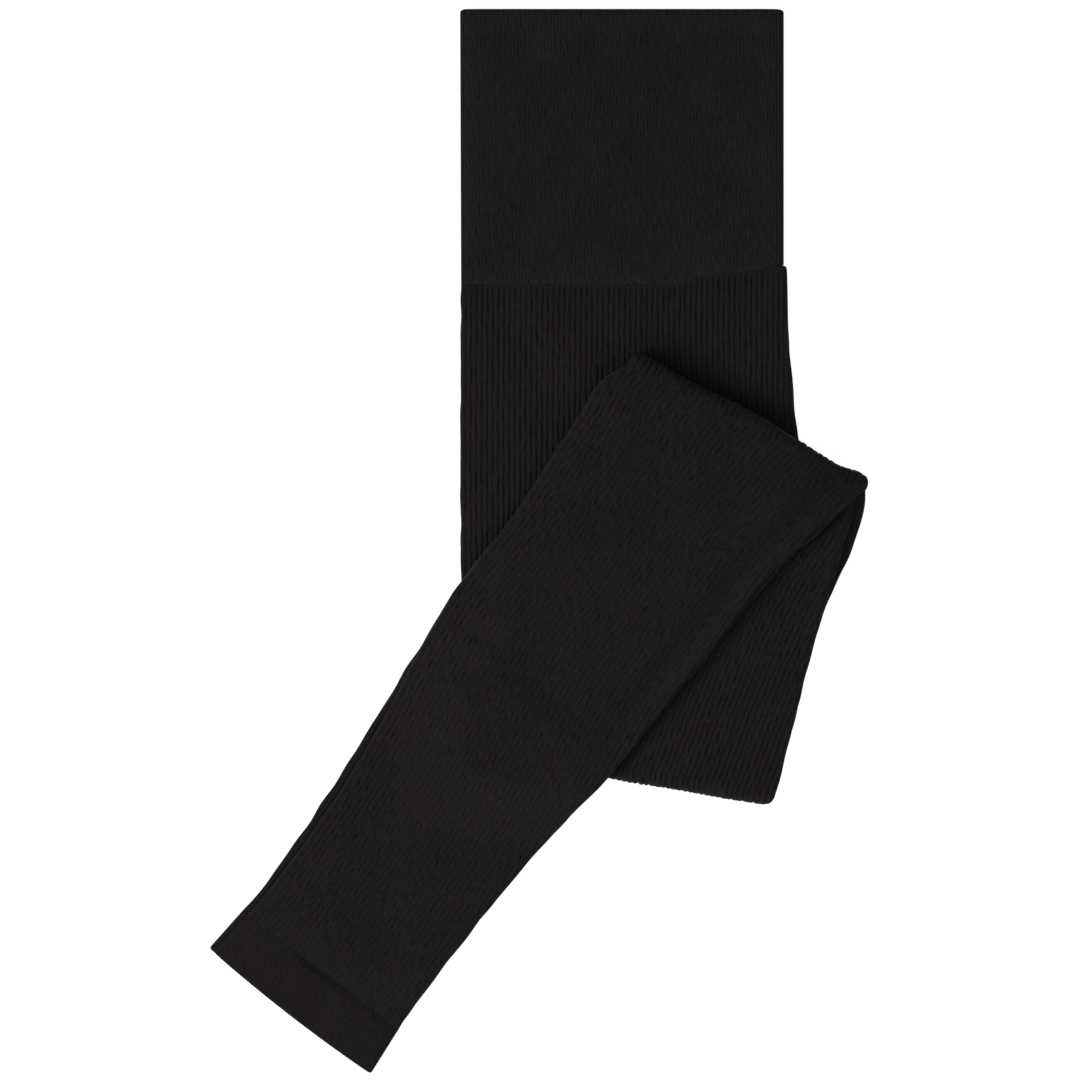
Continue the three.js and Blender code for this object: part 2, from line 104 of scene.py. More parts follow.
# Waistband
BAND_LEFT = -39.25
BAND_RIGHT = 122.3
BAND_TOP = 265.9
BAND_CORNER = 2.0
BAND_FLARE = 0.5  # the left edge leans out by this much at the top
BAND_ROLL = {"at": 2.6, "width": 2.2, "height": 0.2}  # a ridge just above the seam
BAND_SEAM_DROP = {"width": 0.9, "depth": 0.4}
BAND_LEAST_CHANGE = 0.05  # its ribs never vanish
BAND_THIN = {"width": 0.5, "by": 0.35}  # each face of the wall draws in at the cut top edge
BAND_FIRST_ROWS = (0.0, 0.3, 0.9, 1.7)  # from its top edge down
BAND_LAST_ROWS = (1.6, 0.8, 0.3, 0.0)  # before the seam
# Its hollow is a depth and a slow swell in the middle, and less near the rim. Half of it sinks. All of it
# is painted on the colour: painted shade in the middle, a painted highlight along the rim.
BAND_MIDDLE = {"swell": 0.25, "depth": 0.25, "rim": 0.6, "width": 12.0, "sinks": 0.5}
SEAM_Y = 128.25
SEAM_RISE_ACROSS = (0, 108, 118, 134, 151, 154, 165)
SEAM_RISE = (0, 0, 3.6, 5.5, 7.2, 9.6, 9.6)
SEAM_RISE_END = 14.0  # below the seam, rows across the legs are level from here on
SEAM_GAP = 0.04
SEAM_DOWNS = (0.0, 0.6, 1.2, 1.9)  # extra rows below the seam
SEAM_CLEAR = 0.3  # the next row is at least this far below them
NOTCH_ACROSS = 152.5  # past this the waist seam is open
NOTCH_GAP = 0.12
TAB_CORNER = 2.0
TAB_HEM = 4.5  # plain cloth above the ribs there
USUAL_HEM = 0.1  # and above the other ribs
SEAM_HOLLOW_SHADE = {"width": 7.0, "depth": 0.5}  # the cloth below the seam, and a thin ridge in it; both are also painted on the colour, as painted shade below the seam and a painted highlight on the ridge
SEAM_RIDGE = {"at": 0.9, "width": 0.7, "height": 0.25}

# Hem bands
HEM_BOW = (-0.95, -1.2)  # how far the cut edge's middle lies past its ends, in x and y
HEM_CORNER = 1.2
HEM_EDGE_DROP = {"width": 1.0, "depth": 0.35}
HEM_GROOVE_WIDTH = 2.2
HEM_END_ROWS = (1.6, 0.8, 0.25)  # extra rows before a cut edge

# Rows across the legs. They are the part's rows, moved by up to 2.5 mm where the cloth's softer
# outline asks for it. The last six columns are the leg's own width, how far the right leg reaches
# past the left one at each edge, the ribs that show, and the centre seam's share. Ribs that run
# to the leg's right edge end at 190, which is past every row.
ROW_COLUMNS = ("left_x", "left_y", "right_x", "right_y", "cut", "more_left", "more_right",
               "ribs_from", "ribs_to", "share")
BODY_ROWS = (
    (-39.25, 128.25, 123.9, 128.25, 163.15, 0, 0, 0, 190, 1),
    (-39.45, 92, 125.5, 92, 164.95, 0, 0, 0, 190, 1),
    (-39.6, 48, 130, 48, 169.6, 0, 0, 0, 190, 1),
    (-39.5, 10, 136.5, 10, 176, 0, 0, 0, 60, 1),
    (-38.75, -26, 142, -26, 180.75, 0, 0, 0, 20, 1),
    (-36, -62, 134.5, -62, 170.5, 0, 0, 0, 0, 0),
    (-29.75, -101.75, 118, -126.5, 147.5, 0, 0, 0, 0, 0),
)
KNEE_ROWS = (
    (-29.75, -101.75, 118, -126.5, 147.5, 0, 0, 45, 190, 0),
    (-14.75, -63.5, 125.5, -94.9, 143, 0, 0.6, 50, 190, 0),
    (0.25, -25.5, 133.6, -63.7, 138.5, 0, 0.4, 65, 190, 0),
    (15.5, 12.5, 143.1, -33.6, 134, 0, -0.5, 80, 190, 0),
    (30.5, 50.75, 156.2, -4.5, 129, 0, -4.5, 95, 190, 0),
    (39.3, 75.2, 162.4, 15.3, 126.2, 0, -5, 102, 190, 0),
    (43.5, 87.5, 163.1, 25.3, 125, 0, -5, 105, 190, 0),
)
SHIN_ROWS = (
    (43.5, 87.5, 163.1, 25.3, 125, 0, -5, 0, 190, 0),
    (34.2, 82.2, 154.5, 19.5, 124, 0, 1.3, 0, 190, 0),
    (27.2, 75.6, 145.2, 11.4, 122.8, 0, 1.5, 0, 190, 0),
    (22.75, 67.25, 139.25, 6.25, 122, 0, 1.7, 0, 190, 0),
    (9.25, 46.75, 113.25, -18.75, 119, 0, 1.7, 0, 190, 0),
    (-13.25, 12.25, 84.75, -54.75, 117, 0, 1.3, 0, 190, 0),
    (-38.2, -19.1, 60.25, -85.25, 115, 0, 0.8, 0, 190, 0),
    (-59.7, -54, 36.25, -115.75, 110, 0.4, 0, 0, 190, 0),
    (-80.75, -93.75, 4.75, -149.15, 100, 3.7, 0, 0, 190, 0),
    (-106.75, -135.75, -27.55, -187.35, 94, 4.3, 0, 0, 190, 0),
    (-134.75, -174.25, -61.95, -232.05, 93, 3.3, 0, 0, 190, 0),
    (-146.2, -187.5, -70.6, -244.8, 95.9, 3.4, 0, 0, 190, 0),
)
HEM_ROWS = (
    SHIN_ROWS[-1],
    (-162.7, -206.3, -84.45, -266.85, 98.5, 3.5, 0, 0, 0, 0),
)

# Folds. They lie where the part has them, with a squarer section and a wavier upper crest.
INSIDE = 0.5 * STEP
OUTSIDE = 1.5 * STEP
FOLD_CORNER = 1.8
FOLD_SQUARE = 0.72  # 1 is a round fold; less makes it flatter above and below
BOTTOM_FOLD = {"name": "bottom", "axis_z": LAYER / 2 + 1.5 * STEP, "sense": -1, "out": (-0.157, -0.988)}
UPPER_FOLD = {"name": "upper", "axis_z": LAYER / 2 + 3.5 * STEP, "sense": 1, "out": (0.46, 0.888)}
# How much further the upper fold's crest reaches, by share of the leg's width
CREST_SHARE = (0, 0.04, 0.11, 0.2, 0.28, 0.34, 0.42, 0.5, 0.56, 0.64, 0.72, 0.77, 0.83, 0.86, 0.9, 0.94, 1)
CREST_MORE = (0.36, 0.38, 0.3, 0.2, 0.16, 0.22, 0.32, 0.23, 0.2, 0.03, -0.05, -0.16, -0.24, -0.3, -0.21,
              -0.05, 0.03)
SHEAR = 7.0  # near the upper fold the ribs run off the left edge, which is cut in by this much
SHEAR_LENGTH = 20.0
LEFT_LEG = {"name": "leg_left", "bottom": INSIDE, "upper": OUTSIDE, "lower": False, "seed": 11}
RIGHT_LEG = {"name": "leg_right", "bottom": OUTSIDE, "upper": INSIDE, "lower": True, "seed": 23}

# Drape past the edge of the layers below
DRAPE_START = 5
DRAPE_LENGTH = 41
DRAPE_DROP = 2 * STEP

# Soft creases on the shin, listed one by one: from x, y to x, y, then half width and depth. Below 0
# it is a ridge. A crease is deepest at its middle.
# each crease is also painted on the colour as painted shade, and each ridge as a painted highlight
CREASES = (
    (-43, -32, -18, -45, 5.0, -0.4),
    (-42, -42, -20, -54, 2.4, 0.5),
    (-38, -56, -24, -62, 4.0, -0.35),
    (-18, -62, 38, -104, 6.5, 0.45),
    (-34, -76, 16, -118, 9.0, -0.1),
    (60, 52, 40, 22, 4.0, -0.22),
    (50, 46, 30, 18, 4.0, 0.22),
    (20, 40, -8, 6, 8.0, 0.25),
    (-70, -100, -40, -128, 9.0, 0.3),
    (-100, -176, -74, -206, 11.0, 0.6),
    (-120, -172, -104, -158, 8.0, -0.35),
)
CREASE_MIDDLE = 1.15
CREASE_FADE = 0.5
# Along the shin's inner edge: a rolled ridge and a groove beside it, by distance from the edge. Both are
# also painted on the colour: a painted highlight on the ridge and painted shade in the groove.
ROLL = {"at": 4.5, "width": 4.0, "height": 0.6}
GROOVE = {"at": 13.0, "width": 4.5, "depth": 0.9}
ROLL_SPAN = (4.0, 24.0, 135.0, 195.0)  # grows in and fades out over these distances from the fold
# The same edge is lifted a little off the knee
LIFT = 2.8
LIFT_WIDTH = 9.0
LIFT_SPAN = (5.0, 30.0, 120.0, 165.0)
# The knee is pressed in under that edge, most of all near the fold, and its own edge stands up. The press
# is also a painted shadow on the knee's colour, and the raised edge a painted highlight.
PRESS_AND_SHADOW = {"width": 6.0, "depth": 0.4, "near_fold": 0.5, "span": (30.0, 70.0)}
BRIM_AND_HIGHLIGHT = {"at": 2.2, "width": 2.0, "height": 0.8}
BRIM_SPAN = (4.0, 14.0, 60.0, 110.0)

# Colours, linear: the yarn from dark to light; the tone between them also holds painted shade and painted
# highlights
KNIT = (0.0066, 0.0050, 0.0055)
KNIT_LIGHT = (0.0125, 0.0097, 0.0106)
BAND_KNIT = (0.0070, 0.0053, 0.0070)
BAND_LIGHT = (0.0146, 0.0116, 0.0146)
HEM_KNIT = (0.0062, 0.0045, 0.0052)
HEM_LIGHT = (0.0116, 0.0089, 0.0100)

# Studio, in metres and watts
FLOOR_SIZE = 14.0
FLOOR_DROP = 0.0002  # the floor lies this far below the cloth
FLOOR_COLOUR = (0.16, 0.16, 0.16, 1)
FLOOR_GLOW = 0.95
WORLD_GLOW = 0.16
SOFTBOXES = (
    {"name": "softbox_left", "place": (-1.7, -0.6, 1.5), "size": (1.2, 0.9), "watts": 43},
    {"name": "softbox_front", "place": (-0.2, -1.8, 1.5), "size": (1.2, 0.9), "watts": 14},
    {"name": "softbox_right", "place": (1.8, -0.2, 1.5), "size": (1.2, 0.9), "watts": 3},
    {"name": "softbox_above", "place": (-0.2, -0.2, 2.2), "size": (1.6, 1.6), "watts": 14},
)
LENS = 200.0
SENSOR = 36.0
FRAME_WIDTH = 0.54  # what the frame shows across, at the height of the cloth
CLOTH_HEIGHT = 0.007
CAMERA_ASIDE = 0.00025  # half a pixel, each way


def mix(a, b, t):
    return a + (b - a) * t


def smooth(a, b, c, d, t):
    """A smooth curve through values b and c, with a before them and d after them."""
    slope = (c - a) * t
    bend = (2 * a - 5 * b + 4 * c - d) * t * t
    twist = (3 * b - a - 3 * c + d) * t * t * t
    return b + (slope + bend + twist) / 2


def ease(value, start, end):
    t = np.clip((value - start) / (end - start), 0, 1)
    return t * t * (3 - 2 * t)


def hump(value, centre, width):
    return np.exp(-((value - centre) / width) ** 2)


def corner_pull(distance, radius):
    """How far a rounded corner draws an edge in, at a distance from its end."""
    depth = max(radius - distance, 0)
    return radius - math.sqrt(radius ** 2 - depth ** 2)


class Ripple:
    """Smooth seeded unevenness, about -1 to 1, in waves about this long across and along."""

    def __init__(self, seed, across, along, waves=12):
        draw = np.random.default_rng(seed)
        self.across = draw.uniform(0.5, 1.5, waves) * draw.choice((-1, 1), waves) * 2 * math.pi / across
        self.along = draw.uniform(0.5, 1.5, waves) * 2 * math.pi / along
        self.start = draw.uniform(0, 2 * math.pi, waves)

    def __call__(self, u, v):
        u = np.asarray(u, float)[..., None]
        v = np.asarray(v, float)[..., None]
        waves = np.sin(u * self.across + v * self.along + self.start)
        return waves.sum(-1) / math.sqrt(2 * len(self.start))


def table(rows):
    """Rows with their columns named."""
    return [dict(zip(ROW_COLUMNS, row)) for row in rows]


def fill(rows, spacing):
    """The rows of a table with more between them, about spacing apart."""
    rows = table(rows)
    made = []
    for i in range(len(rows) - 1):
        before, row = rows[max(i - 1, 0)], rows[i]
        after, last = rows[i + 1], rows[min(i + 2, len(rows) - 1)]
        length = max(math.hypot(after["left_x"] - row["left_x"], after["left_y"] - row["left_y"]),
                     math.hypot(after["right_x"] - row["right_x"], after["right_y"] - row["right_y"]))
        count = max(1, round(length / spacing))
        for k in range(count):
            t = k / count
            step = {name: mix(row[name], after[name], t) for name in ROW_COLUMNS}
            for name in ROW_COLUMNS[:4]:
                step[name] = smooth(before[name], row[name], after[name], last[name], t)
            made.append(step)
    made.append(rows[-1])
    return made


def seam_rows(rows):
    """The body's rows with more just below the waist seam, where they rise as the seam does."""
    first = rows[0]
    extra = []
    for down in SEAM_DOWNS:
        extra.append(dict(first, left_y=SEAM_Y - down, right_y=SEAM_Y - down))
    rows = extra + [row for row in rows if row["left_y"] < SEAM_Y - SEAM_DOWNS[-1] - SEAM_CLEAR]
    for row in rows:
        down = SEAM_Y - row["left_y"]
        row["rise"] = 1 - float(ease(down, 0, SEAM_RISE_END))
        row["pull_right"] = corner_pull(down, TAB_CORNER)
    rows[0]["seam"] = 1
    return rows


def flat(rows, fold, turn, run):
    """Rows of a run that lies flat before its fold, at turn 0, or after it, at half a turn."""
    return [dict(row, fold=fold, turn=turn, run=run) for row in rows]


def fold_rows(row, fold, run):
    """The rows that turn one row over in a fold."""
    return [dict(row, fold=fold, turn=math.pi * k / FOLD_STEPS, run=run) for k in range(1, FOLD_STEPS)]


def shear_rows(rows):
    """Shin rows whose ribs run off the left edge near the upper fold."""
    first = rows[0]
    for row in rows:
        down = math.hypot(row["left_x"] - first["left_x"], row["left_y"] - first["left_y"])
        grown = float(ease(row["turn"], 0, math.pi / 2))
        row["shear"] = SHEAR * grown * max(0, 1 - down / SHEAR_LENGTH)
    return rows


def leg_rows():
    """All rows of a leg, from the waist seam to the ankle."""
    knee = fill(KNEE_ROWS, KNEE_ROW)
    return (flat(seam_rows(fill(BODY_ROWS, BODY_ROW)), BOTTOM_FOLD, 0, "body")
            + fold_rows(knee[0], BOTTOM_FOLD, "knee")
            + flat(knee[:-1], BOTTOM_FOLD, math.pi, "knee")
            + flat(knee[-1:], UPPER_FOLD, 0, "knee")
            + shear_rows(fold_rows(table(SHIN_ROWS)[0], UPPER_FOLD, "shin")
                         + flat(fill(SHIN_ROWS, SHIN_ROW), UPPER_FOLD, math.pi, "shin")))


def footprint(rows, first=None, last=None):
    """The outline from above of a run that carries others, out to the crest of each fold."""
    rim = LAYER / 2 + OUTSIDE
    rows = [dict(row) for row in rows]

    def crest(row, fold):
        shifted = dict(row)
        for side in ("left", "right"):
            shifted[side + "_x"] += fold["out"][0] * rim
            shifted[side + "_y"] += fold["out"][1] * rim
        return shifted

    if first:
        rows.insert(0, crest(rows[0], first))
    if last:
        rows.append(crest(rows[-1], last))
    left = [(row["left_x"], row["left_y"]) for row in rows]
    right = [(row["right_x"], row["right_y"]) for row in reversed(rows)]
    return np.array(left + right)


BODY_AREA = footprint(fill(BODY_ROWS, COARSE_ROW), last=BOTTOM_FOLD)
KNEE_AREA = footprint(fill(KNEE_ROWS, COARSE_ROW), first=BOTTOM_FOLD, last=UPPER_FOLD)
SHIN_EDGE = np.array([(row["right_x"], row["right_y"]) for row in fill(SHIN_ROWS, COARSE_ROW)])


def line_distance(line, x, y):
    """How far places lie from a line through several points."""
    nearest = np.full(x.shape, np.inf)
    for a, b in zip(line, line[1:]):
        square = max(((b - a) ** 2).sum(), 1e-9)
        t = np.clip(((x - a[0]) * (b[0] - a[0]) + (y - a[1]) * (b[1] - a[1])) / square, 0, 1)
        nearest = np.minimum(nearest, np.hypot(x - mix(a[0], b[0], t), y - mix(a[1], b[1], t)))
    return nearest


def outside(area, x, y):
    """How far places lie outside an outline, or 0 inside it."""
    closed = np.concatenate([area, area[:1]])
    inside = np.zeros(x.shape, bool)
    for a, b in zip(closed, closed[1:]):
        if a[1] != b[1]:
            crossing = ((a[1] > y) != (b[1] > y)) & (x < a[0] + (b[0] - a[0]) * (y - a[1]) / (b[1] - a[1]))
            inside ^= crossing
    return np.where(inside, 0, line_distance(closed, x, y))


def fall(area, x, y):
    """How far cloth past the edge of the layers below comes down."""
    return DRAPE_DROP * ease(outside(area, x, y), DRAPE_START, DRAPE_START + DRAPE_LENGTH)


def grows_and_fades(passed, span):
    """0, then 1 between the middle two distances of a span, then 0 again."""
    return ease(passed, *span[:2]) * (1 - ease(passed, *span[2:]))


def lift(x, y):
    """How far the shin's inner edge is raised off the knee."""
    fold_x, fold_y = SHIN_ROWS[0][:2]
    passed = (fold_x - x) * UPPER_FOLD["out"][0] + (fold_y - y) * UPPER_FOLD["out"][1]
    near_edge = hump(line_distance(SHIN_EDGE, x, y), 0, LIFT_WIDTH)
    return LIFT * grows_and_fades(passed, LIFT_SPAN) * near_edge


def drape(run, x, y):
    """How far a run's cloth lies below its level in the fold."""
    if run == "body":
        return np.zeros(x.shape)
    past_body = fall(BODY_AREA, x, y)
    return past_body if run == "knee" else past_body + fall(KNEE_AREA, x, y) - lift(x, y)


def seam_rise(across):
    """How much higher than at its left end the waist seam lies."""
    return np.interp(across, SEAM_RISE_ACROSS, SEAM_RISE)


def creases(x, y):
    """How deep the soft creases are at places on the shin."""
    depth = np.zeros(x.shape)
    for ax, ay, bx, by, width, deep in CREASES:
        square = (bx - ax) ** 2 + (by - ay) ** 2
        t = ((x - ax) * (bx - ax) + (y - ay) * (by - ay)) / square
        near = np.clip(t, 0, 1)
        away = np.hypot(x - mix(ax, bx, near), y - mix(ay, by, near))
        middle = CREASE_MIDDLE - CREASE_FADE * np.abs(2 * near - 1)
        depth += deep * hump(away, 0, width) * middle
    return depth


def hem_groove(across, cut):
    """How deep the groove at the hem is: hardly there on the left, deepest about the middle. It is also
    painted on the colour as painted shade.
    """
    share = across / cut
    middle = 0.95 * ease(share, 0.27, 0.42) * (1 - 0.65 * ease(share, 0.6, 0.72))
    return 0.1 + middle + 0.35 * hump(share, 0.86, 0.05)


def rib_sink(across, pitch):
    """How far below its crest a rounded rib lies: 0 on the crest and 1 in the valley."""
    return 1 - np.abs(np.sin(math.pi * across / pitch)) ** RIB_ROUND


def soft_edges(across, low, high):
    """How far a pressed face falls away towards its two edges."""
    near = np.minimum(across - low, high - across)
    return SOFT_EDGE_DROP * np.clip(1 - near / SOFT_EDGE, 0, 1) ** 2


def leg_points(leg, row, across, up):
    """Points of a leg, from the distance across it and the height above its middle."""
    share = across / row["cut"]
    fold = row["fold"]
    reach = leg[fold["name"]] + fold["sense"] * up
    level = math.cos(row["turn"])
    out = reach * abs(math.sin(row["turn"])) ** FOLD_SQUARE
    if fold is UPPER_FOLD:
        out = out * (1 + np.interp(share, CREST_SHARE, CREST_MORE))
    x = mix(row["left_x"], row["right_x"], share) + fold["out"][0] * out
    y = mix(row["left_y"], row["right_y"], share) + fold["out"][1] * out
    y = y + row.get("rise", 0) * seam_rise(across)
    y = y - row.get("seam", 0) * np.where(across > NOTCH_ACROSS, NOTCH_GAP, SEAM_GAP)
    bow = row.get("ankle", 0) * 4 * np.clip(share * (1 - share), 0, 1)
    x = x + HEM_BOW[0] * bow
    y = y + HEM_BOW[1] * bow
    z = fold["axis_z"] - reach * math.copysign(abs(level) ** FOLD_SQUARE, level) - drape(row["run"], x, y)
    return np.stack([x, y, z], -1)


def places(low, high, ribs, pitch=RIB):
    """Distances across a face: along each rib where ribs are modelled, and sparse elsewhere."""
    found = [low, high]
    if ribs[1] > ribs[0]:
        count = range(int(max(low, ribs[0]) / pitch) - 1, int(min(high, ribs[1]) / pitch) + 2)
        dense = [(k + p) * pitch for k in count for p in RIB_PLACES]
        dense = [w for w in dense if low + RIB_MARGIN < w < high - RIB_MARGIN]
        found += [w for w in dense if ribs[0] <= w <= ribs[1]]
    sparse = np.arange(math.ceil((low + 1) / COLUMN) * COLUMN, high - 1, COLUMN)
    found += [w for w in sparse if not ribs[0] - RIB_MARGIN < w < ribs[1] + RIB_MARGIN]
    return np.array(sorted(found))


def edge_round(share):
    """The rounding of an edge: distance in from the edge, and height above the leg's middle."""
    lower = -math.asin((1 - share) / (1 + share))
    angle = np.linspace(math.pi / 2, lower, EDGE_STEPS + 1)
    depth = mix(LAYER / 2, LAYER, share)
    return depth * (1 - np.cos(angle)), -LAYER / 2 * share + LAYER / 2 * (1 + share) * np.sin(angle)


def across_at(row, place):
    """The distance across a leg of a place among its ribs."""
    shear = row.get("shear", 0)
    return (place - shear) / (1 - shear / row["cut"])


def rib_place(row, across):
    """The place among the ribs of a distance across a leg."""
    shear = row.get("shear", 0)
    return shear + across * (1 - shear / row["cut"])


class Skin:
    """Gathers points, faces and cloth coordinates for one mesh."""

    def __init__(self):
        self.points = []
        self.cloth = []
        self.plain = []
        self.crinkle = []
        # each point's hollow is also painted on the cloth's colour: painted shade, and below 0 a painted
        # highlight
        self.hollow_shade = []
        self.faces = []
        self.count = 0

    def add(self, points, order, across, along, plain, crinkle, hollow_shade=0.0):
        """Adds a line of points and returns [(number, place in the line's order), ...]."""
        across = np.asarray(across, float)
        self.points.append(points)
        self.cloth.append(np.stack([across, np.broadcast_to(along, across.shape)], -1))
        self.plain.append(np.broadcast_to(plain, across.shape))
        self.crinkle.append(np.broadcast_to(crinkle, across.shape))
        self.hollow_shade.append(np.broadcast_to(hollow_shade, across.shape))
        start = self.count
        self.count += len(points)
        return [(start + i, w) for i, w in enumerate(order)]

    def zip(self, a, b, turned=False, near=0.3):
        """Faces between two lists of points that run the same way."""
        i = j = 0
        while i < len(a) - 1 or j < len(b) - 1:
            more_a, more_b = i < len(a) - 1, j < len(b) - 1
            if more_a and more_b and abs(a[i + 1][1] - b[j + 1][1]) < near:
                face = (a[i][0], a[i + 1][0], b[j + 1][0], b[j][0])
                i += 1
                j += 1
            elif not more_b or (more_a and a[i + 1][1] <= b[j + 1][1]):
                face = (a[i][0], a[i + 1][0], b[j][0])
                i += 1
            else:
                face = (a[i][0], b[j + 1][0], b[j][0])
                j += 1
            self.faces.append(face[::-1] if turned else face)

    def band(self, a, b, turned=False):
        """Faces between two lists of the same length."""
        for k in range(len(a) - 1):
            face = (a[k][0], a[k + 1][0], b[k + 1][0], b[k][0])
            self.faces.append(face[::-1] if turned else face)

    def piece(self, name):
        """The mesh object, in metres, with its cloth coordinates as UVs."""
        mesh = bpy.data.meshes.new(name)
        points = np.concatenate(self.points) * MM
        mesh.from_pydata(points.tolist(), [], self.faces)
        cloth = np.concatenate(self.cloth) * MM
        corners = np.empty(len(mesh.loops), int)
        mesh.loops.foreach_get("vertex_index", corners)
        layer = mesh.uv_layers.new(name="cloth")
        layer.data.foreach_set("uv", cloth[corners].ravel())
        looks = {"plain": self.plain, "crinkle": self.crinkle, "hollow_shade": self.hollow_shade}
        for label, values in looks.items():
            attribute = mesh.attributes.new(label, "FLOAT", "POINT")
            attribute.data.foreach_set("value", np.concatenate(values).astype(float))
        made = bpy.data.objects.new(name, mesh)
        bpy.context.collection.objects.link(made)
        bpy.ops.object.select_all(action="DESELECT")
        made.select_set(True)
        bpy.context.view_layer.objects.active = made
        bpy.ops.object.shade_smooth_by_angle(angle=math.radians(SMOOTH_ANGLE))
        return made


def add_lengths(leg, rows):
    """Gives each row its distance along the leg."""
    middles = [leg_points(leg, row, np.array([row["cut"] / 2]), np.array([0.0]))[0] for row in rows]
    along = 0.0
    for i, row in enumerate(rows):
        if i:
            along += float(np.linalg.norm(middles[i] - middles[i - 1]))
        row["along"] = along
    return along


def ring(skin, leg, row, relief):
    """One row of a leg: the four sides of its outside and the two of its inside."""
    corner = FOLD_CORNER * math.sin(row["turn"]) ** 2 + row.get("pull", 0)
    low = corner - (row["more_left"] if leg["lower"] else 0) + row.get("waver_left", 0)
    high = row["cut"] - corner + (row["more_right"] if leg["lower"] else 0) + row.get("waver_right", 0)
    high = high - row.get("pull_right", 0)
    flip = -1 if leg["lower"] else 1
    right_in, right_up = edge_round(row["share"])
    left_in, left_up = edge_round(0)
    right = np.stack([high - right_in, flip * right_up], -1)
    left = np.stack([low + left_in, -flip * left_up], -1)
    if leg["lower"]:
        right = right[::-1]
        left = left[::-1]
    left = left[::-1]  # now both run from the top to the underside
    show = (row["ribs_from"], row["ribs_to"])
    hidden = (1, 0)
    top_ribs = show if not leg["lower"] and row["run"] != "knee" else hidden
    under_ribs = show if leg["lower"] and row["run"] == "knee" else hidden
    crinkle = row.get("crinkle", RUNS[row["run"]]["crinkle"])

    def along(across):
        return row["along"] - row.get("rise", 0) * seam_rise(across)

    def face(low_end, high_end, ribs, side):
        ends = (rib_place(row, low_end), rib_place(row, high_end))
        place = places(*ends, ribs)
        across = across_at(row, place)
        ribbed = (place >= ribs[0]) & (place <= ribs[1])
        inner = (place > ends[0]) & (place < ends[1])
        sink, shift, hollow_shade = relief(row, place, side, ends)
        sink = np.where(ribbed, np.clip(sink, -PROUDEST, DEEPEST), 0.0)
        shift = np.where(ribbed & inner, shift, 0.0)
        points = leg_points(leg, row, across + shift, side * (LAYER / 2 - sink))
        plain = np.where(ribbed, 0.0, 1.0)
        # only ribbed cloth takes the hollow's painted shade and painted highlights on its colour
        return skin.add(points, place, place, along(across), plain, crinkle, hollow_shade * (1 - plain))

    def end_sinks(across):
        """How far the underside's and the top's ends are lowered at one edge."""
        place = rib_place(row, across)
        ends = (rib_place(row, left[0, 0]), rib_place(row, right[0, 0]))
        lowered = []
        for side, ribs in ((-1, under_ribs), (1, top_ribs)):
            sink = relief(row, np.array([place]), side, ends)[0][0]
            shown = ribs[0] <= place <= ribs[1]
            lowered.append(side * float(np.clip(sink, -PROUDEST, DEEPEST)) if shown else 0.0)
        return lowered

    def edge(profile):
        inner = profile[1:-1]
        up = inner[:, 1] - np.interp(inner[:, 1], (-LAYER / 2, LAYER / 2), end_sinks(profile[0, 0]))
        points = leg_points(leg, row, inner[:, 0], up)
        return skin.add(points, inner[:, 0], inner[:, 0], along(inner[:, 0]), 1.0, crinkle)

    made = {"top": face(left[0, 0], right[0, 0], top_ribs, 1)}
    made["right"] = edge(right)
    made["under"] = face(left[-1, 0], right[-1, 0], under_ribs, -1)
    made["left"] = edge(left)
    for name, up in (("slit_top", SLIT / 2), ("slit_under", -SLIT / 2)):
        across = places(low + INNER_EDGE, high - INNER_EDGE, hidden)
        points = leg_points(leg, row, across, np.full(across.shape, up))
        made[name] = skin.add(points, across, across, along(across), 1.0, crinkle)
    return made


def outer_edges(made):
    """The right and the left edge of a row, each from the top face to the underside."""
    right = [made["top"][-1], *made["right"], made["under"][-1]]
    left = [made["top"][0], *made["left"], made["under"][0]]
    return right, left


def join(skin, a, b):
    """The cloth between two rows, outside and inside."""
    skin.zip(a["top"], b["top"], True)
    skin.zip(a["under"], b["under"], False)
    right_a, left_a = outer_edges(a)
    right_b, left_b = outer_edges(b)
    skin.band(right_a, right_b, True)
    skin.band(left_a, left_b, False)
    skin.zip(a["slit_top"], b["slit_top"], False)
    skin.zip(a["slit_under"], b["slit_under"], True)
    skin.band([a["slit_top"][0], a["slit_under"][0]], [b["slit_top"][0], b["slit_under"][0]], True)
    skin.band([a["slit_top"][-1], a["slit_under"][-1]], [b["slit_top"][-1], b["slit_under"][-1]], False)


def rim(skin, made, turned):
    """Closes the cloth's cut edge at one end of the tube."""
    right, left = outer_edges(made)
    half = len(left) // 2
    top = left[1:half + 1][::-1] + made["top"] + right[1:half + 1]
    under = left[half:-1] + made["under"] + right[half:-1][::-1]
    skin.zip(top, made["slit_top"], turned)
    skin.zip(under, made["slit_under"], not turned)
    sides = ((left[half], made["slit_top"][0], made["slit_under"][0]),
             (right[half], made["slit_under"][-1], made["slit_top"][-1]))
    for corners in sides:
        face = [corner[0] for corner in corners]
        skin.faces.append(face[::-1] if turned else face)


def tube(leg, name, rows, relief):
    """The closed cloth of a leg or a hem band, from its rows."""
    skin = Skin()
    rings = [ring(skin, leg, row, relief) for row in rows]
    for a, b in zip(rings, rings[1:]):
        join(skin, a, b)
    rim(skin, rings[0], False)
    rim(skin, rings[-1], True)
    return skin.piece(name)


def seam_hollow_shade(below_seam):
    """The cloth drawn down below the waist seam, with a thin ridge in it, also painted on the colour as
    painted shade below the seam and a painted highlight on the ridge.
    """
    ridge = SEAM_RIDGE["height"] * hump(below_seam, SEAM_RIDGE["at"], SEAM_RIDGE["width"])
    return SEAM_HOLLOW_SHADE["depth"] * hump(below_seam, 0.0, SEAM_HOLLOW_SHADE["width"]) - ridge


